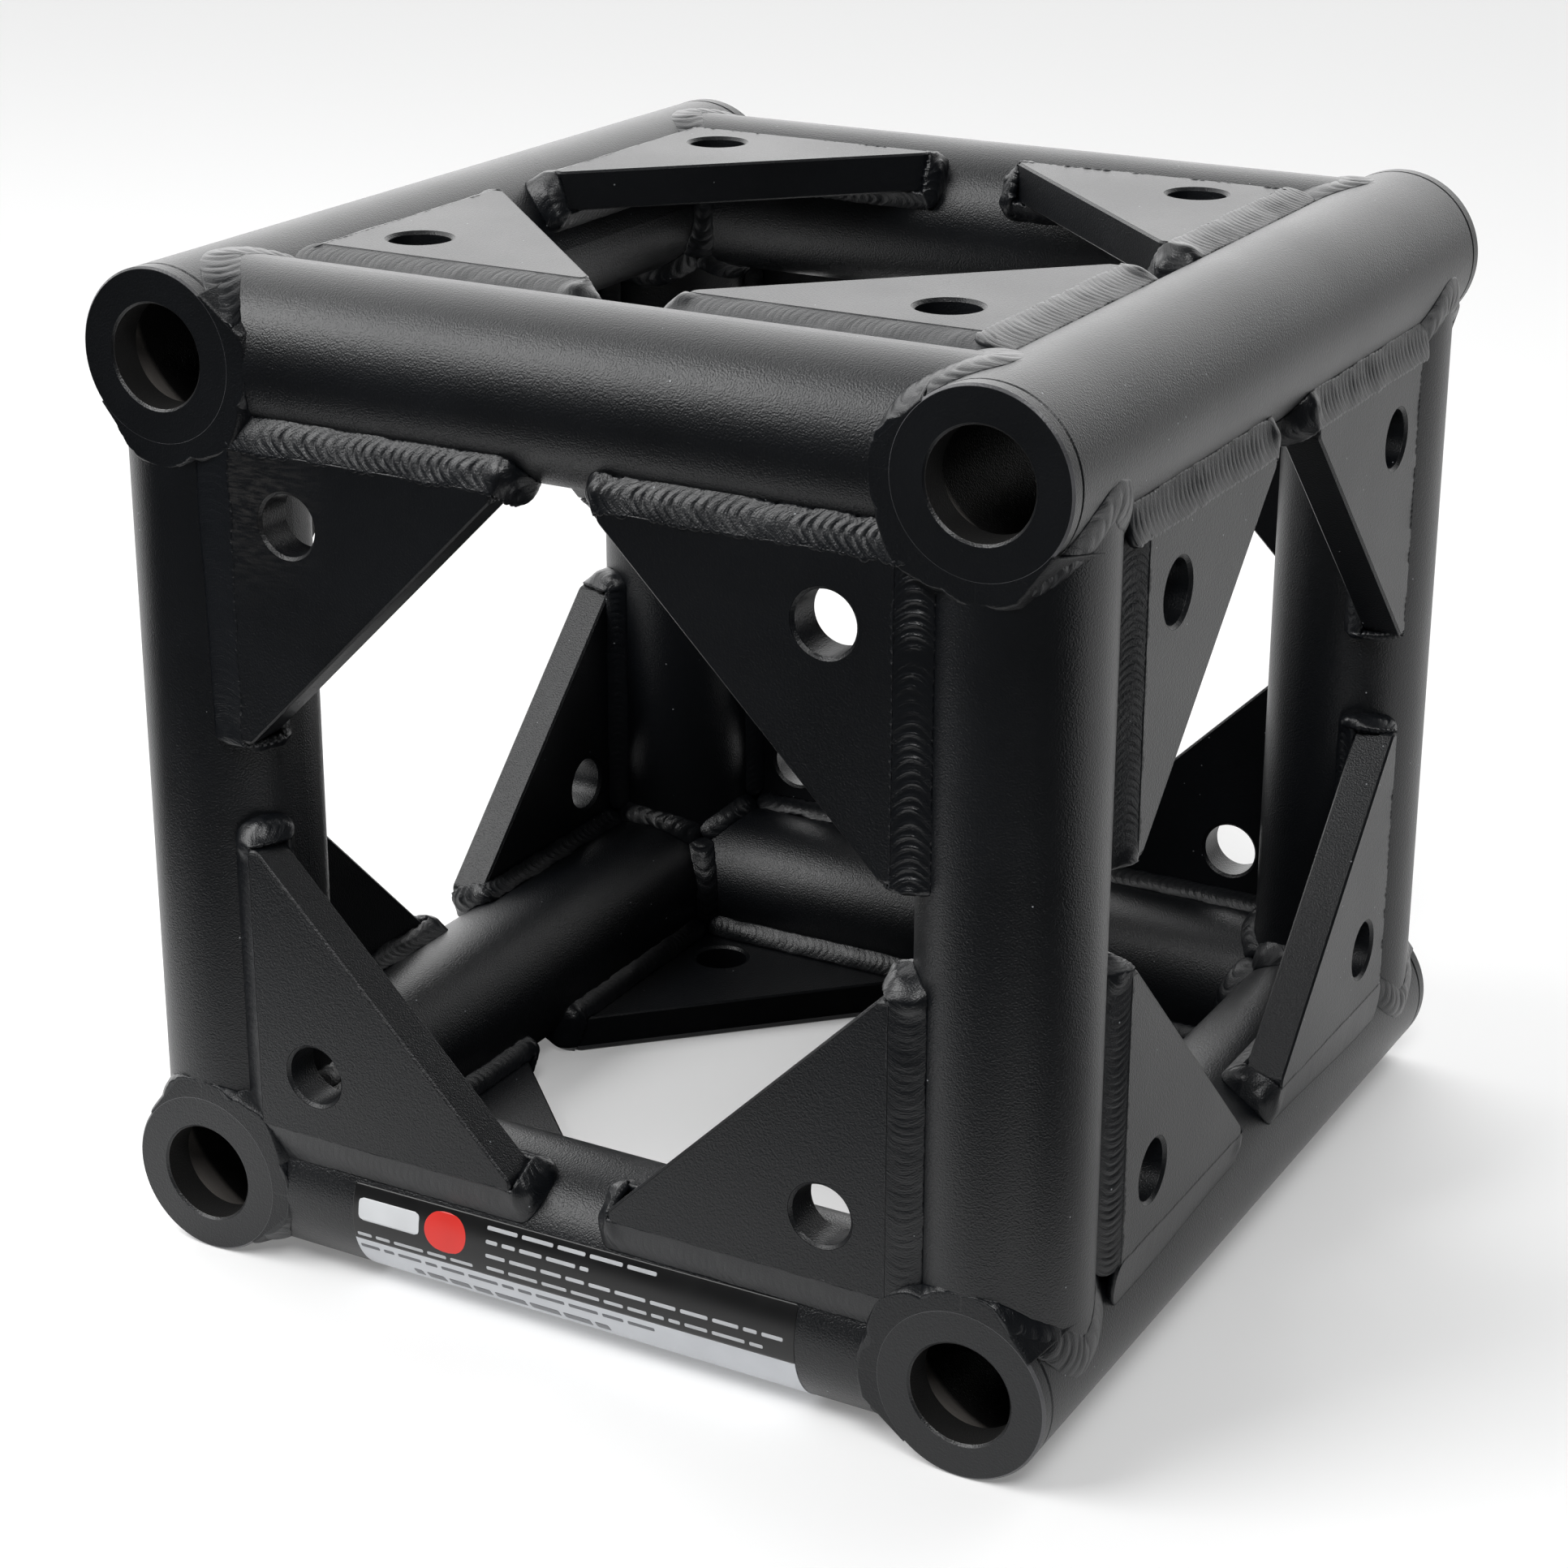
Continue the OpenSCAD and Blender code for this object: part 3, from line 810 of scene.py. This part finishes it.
FLOOR = 20
floor_mesh = bpy.data.meshes.new("floor")
floor_corners = [(-FLOOR, -FLOOR, 0), (FLOOR, -FLOOR, 0), (FLOOR, FLOOR, 0), (-FLOOR, FLOOR, 0)]
floor_mesh.from_pydata(floor_corners, [], [(0, 1, 2, 3)])
floor = bpy.data.objects.new("floor", floor_mesh)
floor_graph = Graph("floor")
shader = floor_graph.shader
shader.inputs["Base Color"].default_value = (0.8, 0.8, 0.8, 1)
shader.inputs["Roughness"].default_value = 0.9
shader.inputs["Specular IOR Level"].default_value = 0.1
shader.inputs["Emission Color"].default_value = (1, 1, 1, 1)
shader.inputs["Emission Strength"].default_value = 0.2
floor_mesh.materials.append(floor_graph.material)
bpy.context.scene.collection.objects.link(floor)


def soft_light(name, place, aim, size, power):
    """A rectangular studio light at a place, turned towards a point."""
    data = bpy.data.lights.new(name, "AREA")
    data.shape = "RECTANGLE"
    data.size, data.size_y = size
    data.energy = power
    lamp = bpy.data.objects.new(name, data)
    lamp.location = place
    lamp.rotation_euler = (Vector(aim) - Vector(place)).to_track_quat("-Z", "Y").to_euler()
    lamp.visible_camera = False
    bpy.context.scene.collection.objects.link(lamp)


# The main light on the left, and a smaller one above and to the right of the camera
soft_light("softbox", (-1.08, -1.02, 1.52), (0, 0, 0.2), (1.25, 1.1), 30)
soft_light("fill", (0.85, -1.25, 1.8), (0, 0, 0.15), (0.85, 0.7), 21)

# A dark card just above the floor, in front of the block and under it. It is seen only in reflections:
# it makes the dark faces reflect a dark floor where the pale one would be, and leaves the floor itself,
# its light and its shadows as they are.
CARD_FRONT = -0.3
CARD_FAR = 16
edge = [(-CARD_FAR, -CARD_FAR), (CARD_FAR, -CARD_FAR), (CARD_FAR, -0.02), (0.42, -0.02), (0.37, 0.12),
        (0.27, 0.12), (0.27, -0.2), (0.3, CARD_FRONT), (-0.32, CARD_FRONT), (-0.4, -0.1), (-CARD_FAR, -1.5)]
under = [(-0.13, -0.13), (0.13, -0.13), (0.13, 0.15), (-0.13, 0.15)]
card_mesh = bpy.data.meshes.new("card")
faces = [tuple(range(len(edge))), tuple(range(len(edge), len(edge + under)))]
card_mesh.from_pydata([(x, y, 0.002) for x, y in edge + under], [], faces)
card = bpy.data.objects.new("card", card_mesh)
card_graph = Graph("card")
shader = card_graph.shader
shader.inputs["Base Color"].default_value = (0.02, 0.02, 0.02, 1)
shader.inputs["Roughness"].default_value = 1.0
shader.inputs["Specular IOR Level"].default_value = 0.0
card_mesh.materials.append(card_graph.material)
card.visible_camera = card.visible_shadow = card.visible_diffuse = False
bpy.context.scene.collection.objects.link(card)

# The studio: a bright backdrop behind the block, and dim towards the camera
world = bpy.data.worlds.new("world")
bpy.context.scene.world = world
world.use_nodes = True
nodes, links = world.node_tree.nodes, world.node_tree.links
toward = nodes.new("ShaderNodeVectorMath")
toward.operation = "DOT_PRODUCT"
toward.inputs[1].default_value = (-0.6, 0.77, 0.2)
links.new(nodes.new("ShaderNodeTexCoord").outputs["Generated"], toward.inputs[0])
spread = nodes.new("ShaderNodeMapRange")
spread.interpolation_type = "SMOOTHSTEP"
spread.inputs["From Min"].default_value = 0.1
spread.inputs["From Max"].default_value = 1.0
spread.inputs["To Min"].default_value = 0.03
spread.inputs["To Max"].default_value = 2.6
links.new(toward.outputs["Value"], spread.inputs["Value"])
links.new(spread.outputs["Result"], nodes["Background"].inputs["Strength"])
nodes["Background"].inputs["Color"].default_value = (1, 1, 1, 1)
bpy.context.scene.view_settings.view_transform = "Standard"
